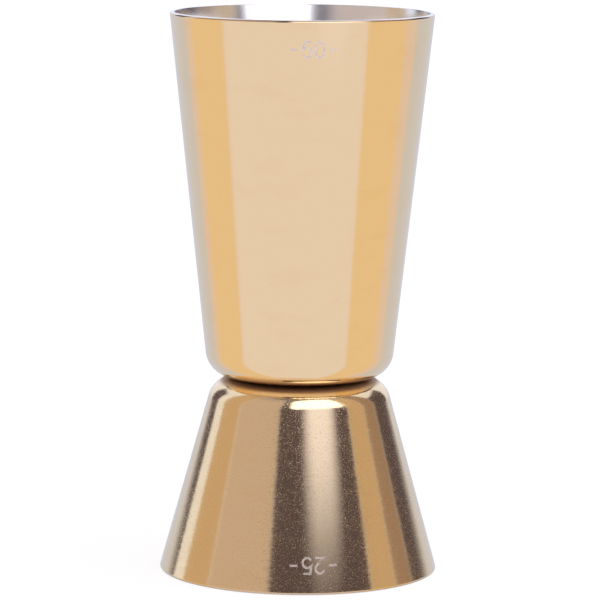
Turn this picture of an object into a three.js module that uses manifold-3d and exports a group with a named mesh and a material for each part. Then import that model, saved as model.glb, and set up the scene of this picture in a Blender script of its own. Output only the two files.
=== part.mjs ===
// Double-ended bar jigger: a 50 ml cup and a 25 ml cup, drawn from thin stainless sheet
// and spot-welded base to base. The outside has a gold-coloured coat, the inside is bare steel.
//
// Millimetres, +Z up. The origin is the centre of the rim that the jigger stands on, which is
// the small cup's; the large cup opens upwards.

import * as THREE from 'three';
import Module from 'manifold-3d';
import { mergeVertices } from 'three/addons/utils/BufferGeometryUtils.js';

// ---- Driving dimensions ----

const SHEET = 0.7; // wall and floor thickness
const FACETS = 96; // flat sides around each cup

// Each cup is a cone frustum with a rounded base corner, all measured on the outside. The two
// radii are where the straight wall, carried on, would meet the planes of the rim and the base.
const LARGE_CUP = { rimRadius: 20.55, baseRadius: 14.3, height: 56.85, corner: 4.1 };
const SMALL_CUP = { rimRadius: 21.8, baseRadius: 13.4, height: 30.3, corner: 4.1 };

// The cut rims are polished round: a larger radius outside, a broken edge inside.
const RIM_OUTER_ROUND = 0.35;
const RIM_INNER_ROUND = 0.12;

// Three spot welds hold the two floors together, a weld's height apart.
const WELD_COUNT = 3;
const WELD_CIRCLE_RADIUS = 6;
const WELD_RADIUS = 2;
const WELD_HEIGHT = 0.25;

// The welding electrodes leave shallow dents in each cup's floor, narrower by the taper below.
const DENT_RADIUS = 2.4;
const DENT_TAPER = 0.5;
const DENT_DEPTH = 0.12;

const CORNER_STEPS = 7;
const ROUND_STEPS = 3;
const WELD_FACETS = 32;

// ---- Materials ----

const goldCoat = new THREE.MeshStandardMaterial({
  color: new THREE.Color(0.83, 0.62, 0.34),
  roughness: 0.18,
  metalness: 1,
});
const weldSteel = new THREE.MeshStandardMaterial({
  color: new THREE.Color(0.45, 0.43, 0.42),
  roughness: 0.5,
  metalness: 1,
});

// ---- Solids ----

const wasm = await Module();
wasm.setup();

/** A closed three.js geometry as a manifold-3d solid. */
function toSolid(geometry) {
  const bare = geometry.clone();
  bare.deleteAttribute('normal');
  bare.deleteAttribute('uv');
  const merged = mergeVertices(bare, 1e-4);
  return new wasm.Manifold(new wasm.Mesh({
    numProp: 3,
    vertProperties: merged.attributes.position.array,
    triVerts: new Uint32Array(merged.index.array),
  }));
}

/** A manifold-3d solid as a three.js geometry. */
function toGeometry(solid) {
  const mesh = solid.getMesh();
  const geometry = new THREE.BufferGeometry();
  geometry.setAttribute('position', new THREE.BufferAttribute(mesh.vertProperties, 3));
  geometry.setIndex(new THREE.BufferAttribute(mesh.triVerts, 1));
  geometry.computeVertexNormals();
  return geometry;
}

// ---- Profile ----

/** Points of an arc about (x, y), from one angle to another, both ends included. */
function arc(x, y, radius, from, to, steps) {
  return Array.from({ length: steps + 1 }, (_, i) => {
    const angle = from + ((to - from) * i) / steps;
    return new THREE.Vector2(x + radius * Math.cos(angle), y + radius * Math.sin(angle));
  });
}

/**
 * A cup's cross-section, base down with its outer floor at y = 0: out along the underside,
 * up the outer wall, over the rim, down the inner wall and back along the inner floor.
 */
function cupProfile({ rimRadius, baseRadius, height, corner }) {
  const lean = Math.atan2(rimRadius - baseRadius, height);
  const wallWidth = SHEET / Math.cos(lean); // the wall's thickness along a radius
  const cornerX = baseRadius - (corner * (1 - Math.sin(lean))) / Math.cos(lean);

  // A round between the wall, which leans outwards, and the level rim.
  const outerRoundX = rimRadius - (RIM_OUTER_ROUND * (1 + Math.sin(lean))) / Math.cos(lean);
  const innerRoundX =
    rimRadius - wallWidth + (RIM_INNER_ROUND * (1 - Math.sin(lean))) / Math.cos(lean);

  return [
    new THREE.Vector2(0, 0),
    ...arc(cornerX, corner, corner, -Math.PI / 2, -lean, CORNER_STEPS),
    ...arc(outerRoundX, height - RIM_OUTER_ROUND, RIM_OUTER_ROUND, -lean, Math.PI / 2, ROUND_STEPS),
    ...arc(
      innerRoundX, height - RIM_INNER_ROUND, RIM_INNER_ROUND,
      Math.PI / 2, Math.PI - lean, ROUND_STEPS,
    ),
    ...arc(cornerX, corner, corner - SHEET, -lean, -Math.PI / 2, CORNER_STEPS),
    new THREE.Vector2(0, SHEET),
  ];
}

// ---- Pieces ----

/** Where weld i is in the plane of the floors: the first on +Y, the rest mirrored about Y. */
function weldPoint(i) {
  const angle = (2 * Math.PI * i) / WELD_COUNT + Math.PI / 2;
  return new THREE.Vector2(
    WELD_CIRCLE_RADIUS * Math.cos(angle),
    WELD_CIRCLE_RADIUS * Math.sin(angle),
  );
}

/** A drawn cup about +Z, base down at z = 0, with the electrode dents in its floor. */
function cupGeometry(size) {
  const lathe = new THREE.LatheGeometry(cupProfile(size), FACETS).rotateX(Math.PI / 2);
  let cup = toSolid(lathe);
  // Each dent cutter stands proud of the floor by its own depth, so that it cuts cleanly.
  const cutter = new THREE.CylinderGeometry(
    DENT_RADIUS + DENT_TAPER, DENT_RADIUS - DENT_TAPER, 2 * DENT_DEPTH, WELD_FACETS,
  ).rotateX(Math.PI / 2);
  for (let i = 0; i < WELD_COUNT; i++) {
    const at = weldPoint(i);
    cup = cup.subtract(toSolid(cutter.clone().translate(at.x, at.y, SHEET)));
  }
  return toGeometry(cup);
}

/** One weld nugget, a short button centred on the origin. */
function weldGeometry() {
  return new THREE.CylinderGeometry(WELD_RADIUS, WELD_RADIUS, WELD_HEIGHT, WELD_FACETS)
    .rotateX(Math.PI / 2);
}

// ---- Assembly ----

const jigger = new THREE.Group();

const smallCup = new THREE.Mesh(cupGeometry(SMALL_CUP), goldCoat);
smallCup.name = 'small_cup';
smallCup.rotation.y = Math.PI; // mouth down; the ring of dents is its own mirror image
smallCup.position.z = SMALL_CUP.height;
jigger.add(smallCup);

const largeCup = new THREE.Mesh(cupGeometry(LARGE_CUP), goldCoat);
largeCup.name = 'large_cup';
largeCup.position.z = SMALL_CUP.height + WELD_HEIGHT;
jigger.add(largeCup);

for (let i = 0; i < WELD_COUNT; i++) {
  const weld = new THREE.Mesh(weldGeometry(), weldSteel);
  const at = weldPoint(i);
  weld.name = `spot_weld_${i + 1}`;
  weld.position.set(at.x, at.y, SMALL_CUP.height + WELD_HEIGHT / 2);
  jigger.add(weld);
}

export default jigger;
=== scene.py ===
"""A double-ended bar jigger: two drawn steel cups, gold-coated outside, welded floor to floor.

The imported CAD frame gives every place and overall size. Both cups are remade here as smooth
turned shells with polished metal finishes, and the capacity marks are laid on their walls.
Metres, +Z up, and the viewer stands on the -Y side.
"""

import math

import bpy
from mathutils import Matrix, Vector


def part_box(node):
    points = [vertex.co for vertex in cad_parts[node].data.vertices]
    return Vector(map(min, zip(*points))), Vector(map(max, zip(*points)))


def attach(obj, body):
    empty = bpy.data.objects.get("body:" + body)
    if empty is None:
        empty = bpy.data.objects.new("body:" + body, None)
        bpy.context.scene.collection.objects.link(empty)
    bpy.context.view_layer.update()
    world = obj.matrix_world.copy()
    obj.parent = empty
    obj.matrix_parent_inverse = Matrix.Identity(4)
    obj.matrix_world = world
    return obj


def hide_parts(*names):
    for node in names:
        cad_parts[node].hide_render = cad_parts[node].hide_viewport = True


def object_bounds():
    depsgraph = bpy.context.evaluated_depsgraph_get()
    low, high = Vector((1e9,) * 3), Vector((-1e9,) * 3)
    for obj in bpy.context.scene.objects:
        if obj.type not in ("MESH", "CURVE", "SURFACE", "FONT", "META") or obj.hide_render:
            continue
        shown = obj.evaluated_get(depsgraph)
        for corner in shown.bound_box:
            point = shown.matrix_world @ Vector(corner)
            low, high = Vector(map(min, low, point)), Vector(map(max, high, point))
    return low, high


MM = 0.001

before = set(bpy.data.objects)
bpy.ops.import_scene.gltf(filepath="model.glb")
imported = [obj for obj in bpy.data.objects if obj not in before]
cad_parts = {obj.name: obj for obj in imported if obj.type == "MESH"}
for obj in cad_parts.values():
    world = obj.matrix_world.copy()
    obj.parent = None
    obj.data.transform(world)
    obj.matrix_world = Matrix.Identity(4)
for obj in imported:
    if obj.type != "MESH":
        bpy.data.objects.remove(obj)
cad_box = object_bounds()

# ---------------------------------------------------------------- the cups' shape

# What the overall boxes of the two cups don't give. These match the CAD cups.
SHEET = 0.7 * MM
CORNER_RADIUS = 4.1 * MM
RIM_OUTER_ROUND = 0.35 * MM
RIM_INNER_ROUND = 0.12 * MM
LARGE_BASE_RADIUS = 14.3 * MM
SMALL_BASE_RADIUS = 13.4 * MM

WELD_NAMES = sorted(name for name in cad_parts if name.startswith("spot_weld"))
DENT_RADIUS = 2.4 * MM
DENT_DEPTH = 0.12 * MM
DENT_LIP = 0.015 * MM
# As shares of the dent's radius: how steep its edge is, and where its lip is and how wide.
DENT_STEEPNESS = 14
DENT_LIP_AT = 1.25
DENT_LIP_WIDTH = 0.12

TURNS = 384  # vertices around each cup
CORNER_STEPS = 20
ROUND_STEPS = 8
WALL_STEPS = 12
FLOOR_STEPS = 44


def arc_points(x, z, radius, start, end, steps):
    """(radius, height, normal) points of an arc, with the normal pointing away from its centre."""
    points = []
    for i in range(steps + 1):
        angle = start + (end - start) * i / steps
        out = Vector((math.cos(angle), math.sin(angle)))
        points.append((x + radius * out.x, z + radius * out.y, out))
    return points


def inside_out(points):
    """The same points with their normals turned over, for a concave stretch."""
    return [(x, z, -normal) for x, z, normal in points]


def between(first, last, steps):
    """Points strictly between two profile points, closer together near both ends."""
    points = []
    for i in range(1, steps):
        share = 0.5 - 0.5 * math.cos(math.pi * i / steps)
        x = first[0] + (last[0] - first[0]) * share
        z = first[1] + (last[1] - first[1]) * share
        points.append((x, z, first[2]))
    return points


def cup_profile(rim_radius, base_radius, height):
    """The outside half and the inside half of a cup's section, base down at height 0.

    The wall is the line from base_radius on the base plane that touches the rim's outer round,
    whose widest point is rim_radius.
    """
    round_x = rim_radius - RIM_OUTER_ROUND
    round_z = height - RIM_OUTER_ROUND
    reach = math.hypot(round_x - base_radius, round_z)
    lean = math.atan2(round_x - base_radius, round_z) + math.asin(RIM_OUTER_ROUND / reach)
    corner_x = base_radius - CORNER_RADIUS * (1 - math.sin(lean)) / math.cos(lean)

    # The inner wall is one sheet thickness in, and the inner round touches it and the rim plane.
    top_x = base_radius + height * math.tan(lean) - SHEET / math.cos(lean)
    inner_round_x = top_x + RIM_INNER_ROUND * (1 - math.sin(lean)) / math.cos(lean)
    inner_round_z = height - RIM_INNER_ROUND

    quarter = math.pi / 2
    down = Vector((0, -1))
    up = Vector((0, 1))
    corner = arc_points(corner_x, CORNER_RADIUS, CORNER_RADIUS, -quarter, -lean, CORNER_STEPS)
    outer_round = arc_points(round_x, round_z, RIM_OUTER_ROUND, -lean, quarter, ROUND_STEPS)
    inner_round = arc_points(
        inner_round_x, inner_round_z, RIM_INNER_ROUND, quarter, 2 * quarter - lean, ROUND_STEPS)
    inner_corner = inside_out(arc_points(
        corner_x, CORNER_RADIUS, CORNER_RADIUS - SHEET, -lean, -quarter, CORNER_STEPS))

    outside = [(0, 0, down)]
    outside += between(outside[0], corner[0], FLOOR_STEPS)
    outside += corner
    outside += between(corner[-1], outer_round[0], WALL_STEPS)
    outside += outer_round
    inside = inner_round
    inside += between(inner_round[-1], inner_corner[0], WALL_STEPS)
    inside += inner_corner
    middle = (0, SHEET, up)
    inside += between(inner_corner[-1], middle, FLOOR_STEPS)
    inside.append(middle)
    return outside, inside, lean


def dent_height(x, y, centres):
    """How far an electrode dent lowers the inner floor at (x, y), with a slight raised lip."""
    height = 0
    for centre in centres:
        share = math.hypot(x - centre.x, y - centre.y) / DENT_RADIUS
        height -= DENT_DEPTH / (1 + math.exp((share - 1) * DENT_STEEPNESS))
        height += DENT_LIP * math.exp(-((share - DENT_LIP_AT) / DENT_LIP_WIDTH) ** 2)
    return height


def turn_cup(name, node, base_radius, mouth, weld_centres):
    """A smooth cup turned about Z where the CAD cup is. mouth is +1 for up and -1 for down."""
    low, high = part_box(node)
    outside, inside, lean = cup_profile(high.x, base_radius, high.z - low.z)
    profile = outside + inside
    base_z = low.z if mouth > 0 else high.z

    verts = []
    normals = []
    rings = []
    for x, z, normal in profile:
        count = TURNS if x > 0 else 1
        rings.append(range(len(verts), len(verts) + count))
        on_floor = normal.y > 0.99 and z < 2 * SHEET
        for i in range(count):
            # The start of a mouth-down cup turns the other way, so that faces still point out.
            angle = mouth * 2 * math.pi * i / TURNS
            px = x * math.cos(angle)
            py = x * math.sin(angle)
            pz = z + (dent_height(px, py, weld_centres) if on_floor else 0)
            verts.append((px, py, base_z + mouth * pz))
            # The dented floor keeps the normals of its own faces, which a zero vector asks for.
            out = normal if not on_floor else Vector((0, 0))
            normals.append((out.x * math.cos(angle), out.x * math.sin(angle), mouth * out.y))

    faces = []
    inner_start = len(outside)
    slots = []
    for row in range(len(rings) - 1):
        here, above = rings[row], rings[row + 1]
        for i in range(TURNS):
            j = (i + 1) % TURNS
            if len(here) == 1:
                face = (here[0], above[j], above[i])
            elif len(above) == 1:
                face = (here[i], here[j], above[0])
            else:
                face = (here[i], here[j], above[j], above[i])
            faces.append(face)
            slots.append(1 if row >= inner_start - 1 else 0)

    mesh = bpy.data.meshes.new(name)
    mesh.from_pydata(verts, [], faces)
    mesh.materials.append(None)
    mesh.materials.append(None)
    mesh.polygons.foreach_set("material_index", slots)
    mesh.polygons.foreach_set("use_smooth", [True] * len(faces))
    mesh.update()
    mesh.normals_split_custom_set_from_vertices(normals)
    cup = bpy.data.objects.new(name, mesh)
    bpy.context.scene.collection.objects.link(cup)
    return cup, lean


# ---------------------------------------------------------------- node helpers

class Graph:
    """Adds nodes to a shader tree. An input can be a socket, a number, a vector or a colour."""

    def __init__(self, tree):
        self.tree = tree
        tree.nodes.clear()

    def add(self, kind, inputs=None, **settings):
        node = self.tree.nodes.new(kind)
        for name, value in settings.items():
            setattr(node, name, value)
        for key, value in (inputs or {}).items():
            self.feed(node.inputs[key], value)
        return node

    def feed(self, socket, value):
        if isinstance(value, bpy.types.NodeSocket):
            self.tree.links.new(value, socket)
        else:
            socket.default_value = value

    def maths(self, operation, *values):
        node = self.add("ShaderNodeMath", operation=operation)
        for socket, value in zip(node.inputs, values):
            self.feed(socket, value)
        return node.outputs[0]

    def ramp(self, value, start, end, low=0.0, high=1.0):
        """low up to start, high from end, and a smooth step between."""
        node = self.add(
            "ShaderNodeMapRange",
            {"Value": value, "From Min": start, "From Max": end, "To Min": low, "To Max": high},
            interpolation_type="SMOOTHSTEP")
        return node.outputs["Result"]

    def mix(self, share, first, second, blend="MIX"):
        node = self.add("ShaderNodeMix", data_type="RGBA", blend_type=blend)
        self.feed(node.inputs[0], share)
        self.feed(node.inputs[6], first)
        self.feed(node.inputs[7], second)
        return node.outputs[2]

    def noise(self, coordinates, scales, detail=2.0, roughness=0.5, seed=0.0):
        """Noise in 0 to 1, centred on 0.5, stretched by one scale for each axis."""
        mapping = self.add(
            "ShaderNodeMapping", {"Vector": coordinates, "Scale": scales, "Location": (seed,) * 3})
        node = self.add(
            "ShaderNodeTexNoise",
            {"Vector": mapping.outputs[0], "Scale": 1.0, "Detail": detail, "Roughness": roughness})
        return node.outputs["Fac"]

    def bump(self, height, distance, normal=None):
        inputs = {"Height": height, "Distance": distance, "Strength": 1.0}
        if normal is not None:
            inputs["Normal"] = normal
        return self.add("ShaderNodeBump", inputs).outputs[0]


def colour(red, green, blue):
    return (red, green, blue, 1.0)


def new_material(name):
    material = bpy.data.materials.new(name)
    material.use_nodes = True
    return material, Graph(material.node_tree)


def finish_metal(graph, base, roughness, normal, anisotropic=0.0, metallic=1.0):
    """Ends a material with a metal surface, brushed around the Z axis."""
    tangent = graph.add("ShaderNodeTangent", direction_type="RADIAL", axis="Z")
    surface = graph.add("ShaderNodeBsdfPrincipled", {
        "Base Color": base,
        "Metallic": metallic,
        "Roughness": roughness,
        "Anisotropic": anisotropic,
        "Tangent": tangent.outputs[0],
        "Normal": normal,
    })
    output = graph.add("ShaderNodeOutputMaterial")
    graph.tree.links.new(surface.outputs[0], output.inputs["Surface"])


# ---------------------------------------------------------------- materials

GOLD = colour(0.93, 0.725, 0.45)
GOLD_THICK = colour(0.90, 0.67, 0.38)
# The colour of a painted shade line just below the rim.
EDGE_SHADE = colour(0.50, 0.35, 0.23)
# The colour of the painted shade in the gap, where the other cup shades this one.
CREVICE_SHADE = colour(0.50, 0.38, 0.30)
STEEL = colour(0.90, 0.885, 0.885)
STEEL_DULL = colour(0.82, 0.80, 0.80)


def object_point(graph):
    """The shading point in metres, in the row frame."""
    return graph.add("ShaderNodeTexCoord").outputs["Object"]


def height_from(graph, point, level):
    """How far the shading point is above or below a level, in metres."""
    height = graph.add("ShaderNodeSeparateXYZ", {"Vector": point}).outputs["Z"]
    return graph.maths("ABSOLUTE", graph.maths("SUBTRACT", height, level))


def turning_lines(graph, point):
    """Fine polishing lines that run around the cup, as a height in 0 to 1."""
    fine = graph.noise(point, (90, 90, 8500), detail=3, roughness=0.6)
    coarse = graph.noise(point, (35, 35, 2600), detail=1, seed=3.1)
    return graph.mix(0.35, fine, coarse)


def sway_normal(graph, point, normal, length_scale, row_scale, amount):
    """Turns the normal a little left or right, row by row, so that edges in a reflection fray."""
    rows = graph.noise(point, (length_scale, length_scale, row_scale), detail=3, roughness=0.7, seed=2.9)
    around = graph.add("ShaderNodeTangent", direction_type="RADIAL", axis="Z").outputs[0]
    share = graph.maths("MULTIPLY", graph.maths("SUBTRACT", rows, 0.5), amount)
    sideways = graph.add("ShaderNodeVectorMath", {0: around, "Scale": share}, operation="SCALE")
    total = graph.add(
        "ShaderNodeVectorMath", {0: normal, 1: sideways.outputs[0]}, operation="ADD")
    return graph.add(
        "ShaderNodeVectorMath", {0: total.outputs[0]}, operation="NORMALIZE").outputs[0]


# Around the rim, measured down from it: how ragged the wear is, where the bare steel fades out,
# and where the painted shade line, a thin dark line just below the rim, starts and ends.
RIM_RAGGED = 0.08 * MM
BARE_FADE = (0.12 * MM, 0.2 * MM)
EDGE_LINE_START = (0.1 * MM, 0.16 * MM)
EDGE_LINE_END = (0.3 * MM, 0.42 * MM)
EDGE_LINE_SHARE = 0.65

# How much a smudge thickens the colour, and what each kind of flaw adds to the roughness.
SMUDGE_SHARE = 0.35
SMUDGE_ROUGHNESS = 0.03
BARE_ROUGHNESS = 0.12
HIDDEN_ROUGHNESS = 0.4


def worn_rim_and_shade_line(graph, point, rim_z):
    """How bare the metal is at the rim, and how dark the painted shade line just below it is."""
    below_rim = height_from(graph, point, rim_z)
    scuffs = graph.noise(point, (300, 300, 1500), detail=3, roughness=0.65, seed=1.9)
    ragged = graph.maths("ADD", below_rim, graph.maths("MULTIPLY", scuffs, RIM_RAGGED))
    bare = graph.ramp(ragged, *BARE_FADE, 1.0, 0.0)
    line_starts = graph.ramp(ragged, *EDGE_LINE_START)
    line_ends = graph.ramp(ragged, *EDGE_LINE_END, 1.0, 0.0)
    # The second mask is painted shade: a thin dark line just below the rim.
    return bare, graph.maths("MULTIPLY", line_starts, line_ends)


def coat_normal(graph, point, finish):
    """The coat's relief: polishing lines, a fine grain, then the sway of the surface."""
    normal = graph.bump(turning_lines(graph, point), finish["lines"])
    across, up = finish["grain_scales"]
    grain = graph.noise(point, (across, across, up), detail=3, roughness=0.6, seed=9.4)
    normal = graph.bump(grain, finish["grain"], normal)
    return sway_normal(
        graph, point, normal, finish["sway_length"], finish["sway_rows"], finish["sway"])


def gold_coat(name, finish, rim_z, join_z, crevice):
    """Polished steel with a gold coat, smudged, specked and worn to bare steel at the rim.

    finish is a dict of depths and amounts. Within crevice metres of join_z the polishing wheel
    couldn't reach, so the metal there is matt, and its colour is darker with painted shade from the
    other cup.
    """
    material, graph = new_material(name)
    point = object_point(graph)

    blotches = graph.noise(point, (110, 110, 260), detail=3, roughness=0.6, seed=7.7)
    smudge = graph.ramp(blotches, 0.52, 0.72)
    bare, edge_shade_line = worn_rim_and_shade_line(graph, point, rim_z)
    gap = height_from(graph, point, join_z)
    # Real matt metal and painted shade near the join: this mask raises the roughness and darkens the
    # colour.
    crevice_shade_and_matt = graph.ramp(gap, 0.35 * crevice, crevice, 1.0, 0.0)
    pits = graph.noise(point, (5700, 5700, 7200), detail=2, roughness=0.6, seed=3.7)
    specks = graph.ramp(pits, 0.51, 0.68)

    base = graph.mix(graph.maths("MULTIPLY", smudge, SMUDGE_SHARE), GOLD, GOLD_THICK)
    # Painted shade: a thin dark line just below the rim.
    base = graph.mix(graph.maths("MULTIPLY", edge_shade_line, EDGE_LINE_SHARE), base, EDGE_SHADE)
    base = graph.mix(bare, base, STEEL)
    # Painted shade: the colour darkens towards the join, in the gap next to the other cup.
    base = graph.mix(crevice_shade_and_matt, base, CREVICE_SHADE)

    patches = graph.noise(point, (420, 420, 900), detail=4, roughness=0.7, seed=5.3)
    polish = finish["roughness"]
    roughness = graph.ramp(patches, 0.35, 0.75, polish * 0.8, polish * 1.35)
    for share, amount in (
        (smudge, SMUDGE_ROUGHNESS),
        (bare, BARE_ROUGHNESS),
        (crevice_shade_and_matt, HIDDEN_ROUGHNESS),
        (specks, finish["specks"]),
    ):
        roughness = graph.maths("ADD", roughness, graph.maths("MULTIPLY", share, amount))

    normal = coat_normal(graph, point, finish)
    finish_metal(graph, base, roughness, normal, anisotropic=0.35)
    return material


def bare_steel(name):
    """The inside of a cup: satin steel with polishing rings and faint lines drawn up the wall."""
    material, graph = new_material(name)
    point = object_point(graph)
    xyz = graph.add("ShaderNodeSeparateXYZ", {"Vector": point})
    across = graph.add("ShaderNodeVectorMath", {0: point, 1: (1, 1, 0)}, operation="MULTIPLY")
    radius = graph.add("ShaderNodeVectorMath", {0: across.outputs[0]}, operation="LENGTH")

    # Rings follow the wall and the floor alike, because radius plus height grows along both.
    along = graph.maths("ADD", xyz.outputs["Z"], radius.outputs["Value"])
    ring_point = graph.add(
        "ShaderNodeCombineXYZ", {"X": xyz.outputs["X"], "Y": xyz.outputs["Y"], "Z": along})
    rings = graph.noise(ring_point.outputs[0], (60, 60, 6000), detail=3, roughness=0.65)
    drawn = graph.noise(point, (3200, 3200, 40), detail=2, roughness=0.5, seed=2.2)

    stain = graph.noise(point, (150, 150, 150), detail=4, roughness=0.6, seed=6.1)
    base = graph.mix(graph.ramp(stain, 0.45, 0.75), STEEL, STEEL_DULL)
    roughness = graph.ramp(stain, 0.3, 0.8, 0.16, 0.24)
    normal = graph.bump(rings, 0.0012 * MM)
    normal = graph.bump(drawn, 0.0012 * MM, normal)
    finish_metal(graph, base, roughness, normal, anisotropic=0.5)
    return material


def weld_metal(name):
    """A resistance weld: dull grey steel, granular, with a straw and blue heat tint."""
    material, graph = new_material(name)
    point = object_point(graph)
    cells = graph.noise(point, (2500, 2500, 2500), detail=4, roughness=0.7)
    tint = graph.noise(point, (500, 500, 500), detail=2, seed=4.4)
    straw = graph.mix(graph.ramp(cells, 0.3, 0.7), colour(0.36, 0.33, 0.30), colour(0.50, 0.44, 0.34))
    base = graph.mix(graph.ramp(tint, 0.5, 0.65), straw, colour(0.25, 0.27, 0.36))
    roughness = graph.ramp(cells, 0.3, 0.7, 0.4, 0.65)
    finish_metal(graph, base, roughness, graph.bump(cells, 0.01 * MM))
    return material


def etched_mark(name):
    """Laser-etched steel: pale, matt and finely pitted."""
    material, graph = new_material(name)
    point = object_point(graph)
    pits = graph.noise(point, (9000, 9000, 9000), detail=2, roughness=0.7)
    patches = graph.noise(point, (1500, 1500, 1500), detail=3, seed=8.8)
    base = graph.mix(
        graph.ramp(patches, 0.35, 0.7), colour(0.82, 0.72, 0.63), colour(0.68, 0.60, 0.53))
    roughness = graph.ramp(pits, 0.3, 0.7, 0.45, 0.65)
    finish_metal(graph, base, roughness, graph.bump(pits, 0.004 * MM))
    return material


# ---------------------------------------------------------------- capacity marks

STROKE = 0.34 * MM
MARK_PROUD = 0.012 * MM
MARK_SUNK = 0.02 * MM
DIGIT_STEPS = 14
MITRE_LIMIT = 2.5  # how many times its own width a stroke may reach at a sharp corner

# Proportions of a digit's height: from one digit to the next, a dash, and the space before it.
DIGIT_PITCH = 0.8
DASH_LENGTH = 0.5
DASH_SPACE = 0.22


def digit_zero(height):
    """A tall oval, as a closed path of (across, up) points about the digit's middle."""
    path = []
    for i in range(4 * DIGIT_STEPS):
        angle = 2 * math.pi * i / (4 * DIGIT_STEPS)
        across = 0.29 * height * math.copysign(abs(math.cos(angle)) ** 0.8, math.cos(angle))
        path.append((across, 0.5 * height * math.sin(angle)))
    return path, True


def bowl(height, centre_up, radius, start, end):
    """Points of a slightly narrow round stroke, for the 2 and the 5."""
    path = []
    for i in range(DIGIT_STEPS + 1):
        angle = math.radians(start + (end - start) * i / DIGIT_STEPS)
        path.append((
            0.9 * radius * height * math.cos(angle),
            (centre_up + radius * math.sin(angle)) * height))
    return path


def digit_two(height):
    """A round head that runs down to the left, then the foot."""
    path = bowl(height, 0.2, 0.3, 165, -35)
    path += [(-0.28 * height, -0.5 * height), (0.28 * height, -0.5 * height)]
    return path, False


def digit_five(height):
    """The bar from the right, the neck, then the bowl round to the lower left."""
    path = [(0.24 * height, 0.5 * height), (-0.2 * height, 0.5 * height)]
    path.append((-0.25 * height, 0.02 * height))
    path += bowl(height, -0.18, 0.32, 125, -150)
    return path, False


def offset_edges(path, closed, width):
    """The two edges of a stroke along a path, mitred at its corners."""
    count = len(path)
    left = []
    right = []
    for i, (x, y) in enumerate(path):
        before = path[i - 1] if (i > 0 or closed) else None
        after = path[(i + 1) % count] if (i < count - 1 or closed) else None
        steps = []
        if before:
            steps.append(Vector((x - before[0], y - before[1])).normalized())
        if after:
            steps.append(Vector((after[0] - x, after[1] - y)).normalized())
        mean = sum(steps, Vector((0, 0))).normalized()
        side = Vector((-mean.y, mean.x))
        stretch = 1 / max(1 / MITRE_LIMIT, side.dot(Vector((-steps[0].y, steps[0].x))))
        half = side * (width / 2 * stretch)
        left.append((x + half.x, y + half.y))
        right.append((x - half.x, y - half.y))
    return left, right


def stroke_solid(path, closed, place, verts, faces):
    """Adds one closed ribbon to verts and faces. place maps (across, up, out) to the cup's wall."""
    left, right = offset_edges(path, closed, STROKE)
    start = len(verts)
    for (lx, ly), (rx, ry) in zip(left, right):
        verts.append(place(lx, ly, MARK_PROUD))
        verts.append(place(rx, ry, MARK_PROUD))
        verts.append(place(rx, ry, -MARK_SUNK))
        verts.append(place(lx, ly, -MARK_SUNK))
    count = len(path)
    for i in range(count if closed else count - 1):
        a = start + 4 * i
        b = start + 4 * ((i + 1) % count)
        for k in range(4):
            m = (k + 1) % 4
            faces.append((a + k, a + m, b + m, b + k))
    if not closed:
        end = start + 4 * (count - 1)
        faces.append((start + 3, start + 2, start + 1, start))
        faces.append((end, end + 1, end + 2, end + 3))


def capacity_mark(name, digits, digit_height, middle_z, middle_x, wall_radius, wall_slope, turn):
    """Two numerals between two dashes, wrapped on a cup's front wall.

    wall_radius is the outer wall's radius at middle_z and wall_slope is how it grows with z.
    turn is 1 for upright numerals and -1 for ones that read with the jigger turned over.
    """
    pitch = DIGIT_PITCH * digit_height
    shapes = []
    for i, make in enumerate(digits):
        shift = (i - 0.5) * pitch
        path, closed = make(digit_height)
        shapes.append(([(x + shift, y) for x, y in path], closed))
    for side in (-1, 1):
        inner = side * (pitch + DASH_SPACE * digit_height)
        outer = inner + side * DASH_LENGTH * digit_height
        shapes.append(([(min(inner, outer), 0), (max(inner, outer), 0)], False))

    lean = math.atan(wall_slope)

    def place(across, up, out):
        z = middle_z + turn * up * math.cos(lean)
        radius = wall_radius + wall_slope * (z - middle_z) + out * math.cos(lean)
        angle = math.asin(middle_x / wall_radius) + turn * across / wall_radius
        return (radius * math.sin(angle), -radius * math.cos(angle), z - out * math.sin(lean))

    verts = []
    faces = []
    for path, closed in shapes:
        stroke_solid(path, closed, place, verts, faces)
    mesh = bpy.data.meshes.new(name)
    mesh.from_pydata(verts, [], faces)
    mesh.update()
    mark = bpy.data.objects.new(name, mesh)
    bpy.context.scene.collection.objects.link(mark)
    return mark


# ---------------------------------------------------------------- studio

# The studio is a ring of plain cards far from the object, seen mostly as its reflections.
# Azimuth 0 is towards the viewer and grows to the right. A later card lies over an earlier one.
WHITE = (0.9, 0.95, 1.1)
PALE = (0.65, 0.7, 0.85)
CREAM = (0.85, 0.82, 0.88)
TABLE = (0.8, 0.7, 0.7)
WARM = (0.85, 0.7, 0.5)
PANEL = (0.6, 0.5, 0.45)
AMBER = (0.6, 0.45, 0.3)
BROWN = (0.35, 0.25, 0.2)
CEILING = (0.25, 0.2, 0.2)
DARK = (0.1, 0.08, 0.1)
LIT = (1.0, 1.0, 1.2)
GLARE = (2.0, 2.0, 2.1)

# What the camera sees past the floor's far edge.
FLOOR_WHITE = (1.0, 1.0, 1.0)

# Beyond any azimuth: a card with this side has no edge there.
ENDLESS = 400


class Card:
    """A soft-edged rectangle of light, all in degrees. soft is the width of its edges."""

    def __init__(self, across, up, tint, soft):
        self.across = across
        self.up = up
        self.tint = tint
        self.soft = soft


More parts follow.
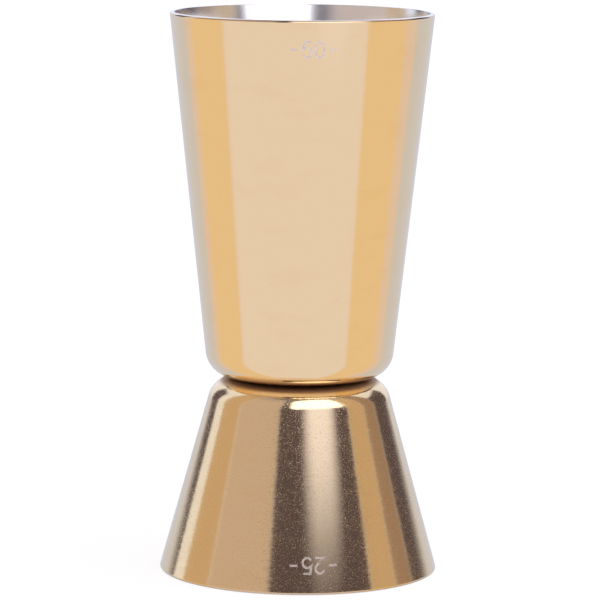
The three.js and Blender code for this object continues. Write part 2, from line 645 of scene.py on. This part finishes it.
CARDS = (
    # The table top, lighter in front, with warm ends and pale surroundings.
    Card((-75, 90), (-90, 0), CREAM, 10),
    Card((-115, -75), (-90, 0), WARM, 5),
    Card((60, 105), (-90, 0), WARM, 5),
    Card((-ENDLESS, -125), (-90, 0), PALE, 10),
    Card((120, ENDLESS), (-90, 0), PALE, 10),
    # The wall: a panel to the left, a dark flag in front, amber boards beside both.
    Card((-110, -80), (0, 60), AMBER, 5),
    Card((-80, -25), (0, 60), PANEL, 5),
    Card((-25, 65), (0, 70), DARK, 5),
    Card((65, 90), (0, 60), AMBER, 5),
    Card((90, 110), (0, 60), BROWN, 5),
    # A dark flag at each side, and the dark ceiling.
    Card((-145, -125), (0, 30), DARK, 5),
    Card((110, 145), (0, 30), DARK, 5),
    Card((-ENDLESS, ENDLESS), (60, 100), CEILING, 20),
)


def card_mask(graph, across_value, up_value, across, up, soft):
    """1 on a card and 0 off it, with soft edges."""
    mask = None
    for value, (low, high) in ((across_value, across), (up_value, up)):
        for edge, off, on in ((low, 0.0, 1.0), (high, 1.0, 0.0)):
            part = graph.ramp(value, edge - soft / 2, edge + soft / 2, off, on)
            mask = part if mask is None else graph.maths("MULTIPLY", mask, part)
    return mask


def build_studio_world():
    """The cards as the world's light, and plain white where the camera sees past the floor."""
    world = bpy.data.worlds.new("studio")
    world.use_nodes = True
    bpy.context.scene.world = world
    graph = Graph(world.node_tree)
    direction = graph.add("ShaderNodeTexCoord").outputs["Generated"]
    xyz = graph.add("ShaderNodeSeparateXYZ", {"Vector": direction}).outputs
    towards = graph.maths("MULTIPLY", xyz["Y"], -1.0)
    azimuth = graph.maths("DEGREES", graph.maths("ARCTAN2", xyz["X"], towards))
    elevation = graph.maths("DEGREES", graph.maths("ARCSINE", xyz["Z"]))

    light = graph.mix(graph.ramp(elevation, -5, -1), colour(*TABLE), colour(*WHITE))
    for card in CARDS:
        mask = card_mask(graph, azimuth, elevation, card.across, card.up, card.soft)
        light = graph.mix(mask, light, colour(*card.tint))

    seen = graph.add("ShaderNodeLightPath").outputs["Is Camera Ray"]
    light = graph.mix(seen, light, colour(*FLOOR_WHITE))
    background = graph.add("ShaderNodeBackground", {"Color": light, "Strength": 1.0})
    output = graph.add("ShaderNodeOutputWorld")
    graph.tree.links.new(background.outputs[0], output.inputs["Surface"])


# A softbox hangs in front and to the right, facing the object. Its parts are rounded rectangles:
# the middle (along it, above the join), half the size each way, the corner radius, the width of
# the soft edge, and the colour, in millimetres.
SOFTBOX_DISTANCE = 150 * MM
SOFTBOX_AZIMUTH = math.radians(25)
SOFTBOX_SIZE = (280 * MM, 420 * MM)
SOFTBOX_PARTS = (
    ((0, 75), (50, 50), 40, 40, LIT),
    ((0, 200), (110, 130), 45, 25, GLARE),
)


def rounded_mask(graph, x, z, middle, half, radius, blur):
    """1 in a rounded rectangle and 0 outside it, with a soft edge."""
    squares = []
    for value, centre, reach in ((x, middle[0], half[0]), (z, middle[1], half[1])):
        away = graph.maths("ABSOLUTE", graph.maths("SUBTRACT", value, centre))
        past = graph.maths("MAXIMUM", graph.maths("SUBTRACT", away, reach - radius), 0.0)
        squares.append(graph.maths("MULTIPLY", past, past))
    distance = graph.maths("SQRT", graph.maths("ADD", *squares))
    return graph.ramp(distance, radius - blur / 2, radius + blur / 2, 1.0, 0.0)


def build_softbox(join_z):
    """The softbox, as a glowing card that only the metal sees."""
    width, height = SOFTBOX_SIZE
    corners = [(-width / 2, 0, 0), (width / 2, 0, 0), (width / 2, 0, height), (-width / 2, 0, height)]
    mesh = bpy.data.meshes.new("softbox")
    mesh.from_pydata(corners, [], [(0, 1, 2, 3)])

    material, graph = new_material("softbox_glow")
    xyz = graph.add("ShaderNodeSeparateXYZ", {"Vector": object_point(graph)}).outputs
    x = graph.maths("DIVIDE", xyz["X"], MM)
    z = graph.maths("DIVIDE", xyz["Z"], MM)
    light = None
    cover = None
    for middle, half, radius, blur, tint in SOFTBOX_PARTS:
        mask = rounded_mask(graph, x, z, middle, half, radius, blur)
        light = colour(*tint) if light is None else graph.mix(mask, light, colour(*tint))
        cover = mask if cover is None else graph.maths("MAXIMUM", cover, mask)
    glow = graph.add("ShaderNodeEmission", {"Color": light, "Strength": 1.0})
    clear = graph.add("ShaderNodeBsdfTransparent")
    both = graph.add("ShaderNodeMixShader", {0: cover, 1: clear.outputs[0], 2: glow.outputs[0]})
    output = graph.add("ShaderNodeOutputMaterial")
    graph.tree.links.new(both.outputs[0], output.inputs["Surface"])
    mesh.materials.append(material)

    card = bpy.data.objects.new("softbox", mesh)
    card.location = (
        SOFTBOX_DISTANCE * math.sin(SOFTBOX_AZIMUTH),
        -SOFTBOX_DISTANCE * math.cos(SOFTBOX_AZIMUTH),
        join_z)
    card.rotation_euler = (0, 0, SOFTBOX_AZIMUTH)
    bpy.context.scene.collection.objects.link(card)
    card.visible_camera = False
    card.visible_diffuse = False
    card.visible_shadow = False


FLOOR_MATT = (0.25, 0.25, 0.25)
FLOOR_GLOW = (0.82, 0.82, 0.825)
FLOOR_RADIUS = 6.0
FLOOR_DROP = 0.01 * MM
FLOOR_SIDES = 96


def build_floor():
    """A pale matt floor just under the rim the jigger stands on."""
    ring = [
        (FLOOR_RADIUS * math.cos(2 * math.pi * i / FLOOR_SIDES),
         FLOOR_RADIUS * math.sin(2 * math.pi * i / FLOOR_SIDES),
         cad_box[0].z - FLOOR_DROP)
        for i in range(FLOOR_SIDES)
    ]
    mesh = bpy.data.meshes.new("floor")
    mesh.from_pydata(ring, [], [range(FLOOR_SIDES)])
    material, graph = new_material("floor_matt_white")
    matt = graph.add("ShaderNodeBsdfDiffuse", {"Color": colour(*FLOOR_MATT), "Roughness": 0.5})
    glow = graph.add("ShaderNodeEmission", {"Color": colour(*FLOOR_GLOW), "Strength": 1.0})
    both = graph.add("ShaderNodeAddShader", {0: matt.outputs[0], 1: glow.outputs[0]})
    output = graph.add("ShaderNodeOutputMaterial")
    graph.tree.links.new(both.outputs[0], output.inputs["Surface"])
    mesh.materials.append(material)
    floor = bpy.data.objects.new("floor", mesh)
    bpy.context.scene.collection.objects.link(floor)
    # The cards already hold the table's reflection, so the metal doesn't see the floor as well.
    floor.visible_glossy = False


LAMP_STRENGTH = 1.6
LAMP_SPREAD = math.radians(60)
LAMP_TILT = (math.radians(12), math.radians(14), 0)


def build_lamp():
    """A broad overhead lamp that lights the floor. Its reflection is one of the cards."""
    data = bpy.data.lights.new("overhead", "SUN")
    data.energy = LAMP_STRENGTH
    data.angle = LAMP_SPREAD
    lamp = bpy.data.objects.new("overhead", data)
    lamp.rotation_euler = LAMP_TILT
    lamp.visible_glossy = False
    bpy.context.scene.collection.objects.link(lamp)


# The camera stands in front, a little above the rim, and looks down at the waist.
CAMERA_BACK = 590 * MM
CAMERA_ABOVE_JOIN = 94 * MM
AIM_ABOVE_JOIN = 12 * MM
AIM_RIGHT = 0
CAMERA_ROLL = math.radians(0.5)
FIELD_OF_VIEW = math.radians(9)


def build_camera(join_z):
    """A long lens, a little above the rim, rolled very slightly."""
    data = bpy.data.cameras.new("camera")
    data.angle = FIELD_OF_VIEW
    data.clip_start = 0.01
    data.clip_end = 50
    camera = bpy.data.objects.new("camera", data)
    camera.location = (0, -CAMERA_BACK, join_z + CAMERA_ABOVE_JOIN)
    aim = Vector((AIM_RIGHT, 0, join_z + AIM_ABOVE_JOIN))
    look = (aim - camera.location).to_track_quat("-Z", "Y").to_matrix()
    roll = Matrix.Rotation(CAMERA_ROLL, 3, "Z")
    camera.rotation_euler = (look @ roll).to_euler()
    bpy.context.scene.collection.objects.link(camera)
    bpy.context.scene.camera = camera


# ---------------------------------------------------------------- assembly

MARK_HEIGHT = 2.4 * MM
LARGE_MARK_RIGHT = 1.7 * MM
SMALL_MARK_RIGHT = 2.4 * MM
LARGE_MARK_BELOW_RIM = 4.4 * MM
SMALL_MARK_ABOVE_RIM = 4.4 * MM

LARGE_FINISH = {
    "roughness": 0.08, "lines": 0.0006 * MM, "grain": 0.0005 * MM, "grain_scales": (1100, 4200),
    "sway_length": 120, "sway_rows": 5200, "sway": 0.05, "specks": 0.04,
}
SMALL_FINISH = {
    "roughness": 0.08, "lines": 0.0004 * MM, "grain": 0.0026 * MM, "grain_scales": (4200, 6500),
    "sway_length": 500, "sway_rows": 4200, "sway": 0.05, "specks": 0.27,
}
LARGE_CREVICE = 0.12 * MM
SMALL_CREVICE = 1.1 * MM


def weld_centres():
    """The middle of each spot weld, in the plane of the cups' floors."""
    centres = []
    for name in WELD_NAMES:
        low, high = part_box(name)
        middle = (low + high) / 2
        centres.append(Vector((middle.x, middle.y)))
    return centres


def build_jigger():
    large_low, large_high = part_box("large_cup")
    small_low, small_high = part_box("small_cup")
    centres = weld_centres()
    steel = bare_steel("steel_inside")

    large, large_lean = turn_cup("large_cup_shell", "large_cup", LARGE_BASE_RADIUS, 1, centres)
    join_z = (small_high.z + large_low.z) / 2
    large.data.materials[0] = gold_coat(
        "gold_large", LARGE_FINISH, large_high.z, join_z, LARGE_CREVICE)
    large.data.materials[1] = steel
    small, small_lean = turn_cup("small_cup_shell", "small_cup", SMALL_BASE_RADIUS, -1, centres)
    small.data.materials[0] = gold_coat(
        "gold_small", SMALL_FINISH, small_low.z, join_z, SMALL_CREVICE)
    small.data.materials[1] = steel

    etched = etched_mark("etched_steel")
    large_z = large_high.z - LARGE_MARK_BELOW_RIM
    large_slope = math.tan(large_lean)
    large_wall = LARGE_BASE_RADIUS + (large_z - large_low.z) * large_slope
    large_mark = capacity_mark(
        "mark_50", (digit_five, digit_zero), MARK_HEIGHT, large_z, LARGE_MARK_RIGHT,
        large_wall, large_slope, 1)
    small_z = small_low.z + SMALL_MARK_ABOVE_RIM
    small_slope = math.tan(small_lean)
    small_wall = SMALL_BASE_RADIUS + (small_high.z - small_z) * small_slope
    small_mark = capacity_mark(
        "mark_25", (digit_two, digit_five), MARK_HEIGHT, small_z, SMALL_MARK_RIGHT,
        small_wall, -small_slope, -1)

    for piece, slot, node in (
        (large, "gold_coat", "large_cup"),
        (small, "gold_coat", "small_cup"),
        (large_mark, "etched_mark", None),
        (small_mark, "etched_mark", None),
    ):
        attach(piece, "root")
        if node:
            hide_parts(node)
    for mark in (large_mark, small_mark):
        mark.data.materials.append(etched)

    weld = weld_metal("weld_steel")
    for name in WELD_NAMES:
        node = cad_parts[name]
        node.data.materials.clear()
        node.data.materials.append(weld)
    return join_z


# Light bounces many times in the narrow gap between the two cups.
BOUNCES = 12

join_height = build_jigger()
build_studio_world()
build_softbox(join_height)
build_floor()
build_lamp()
build_camera(join_height)
bpy.context.scene.view_settings.view_transform = "Standard"
bpy.context.scene.cycles.max_bounces = BOUNCES
bpy.context.scene.cycles.glossy_bounces = BOUNCES
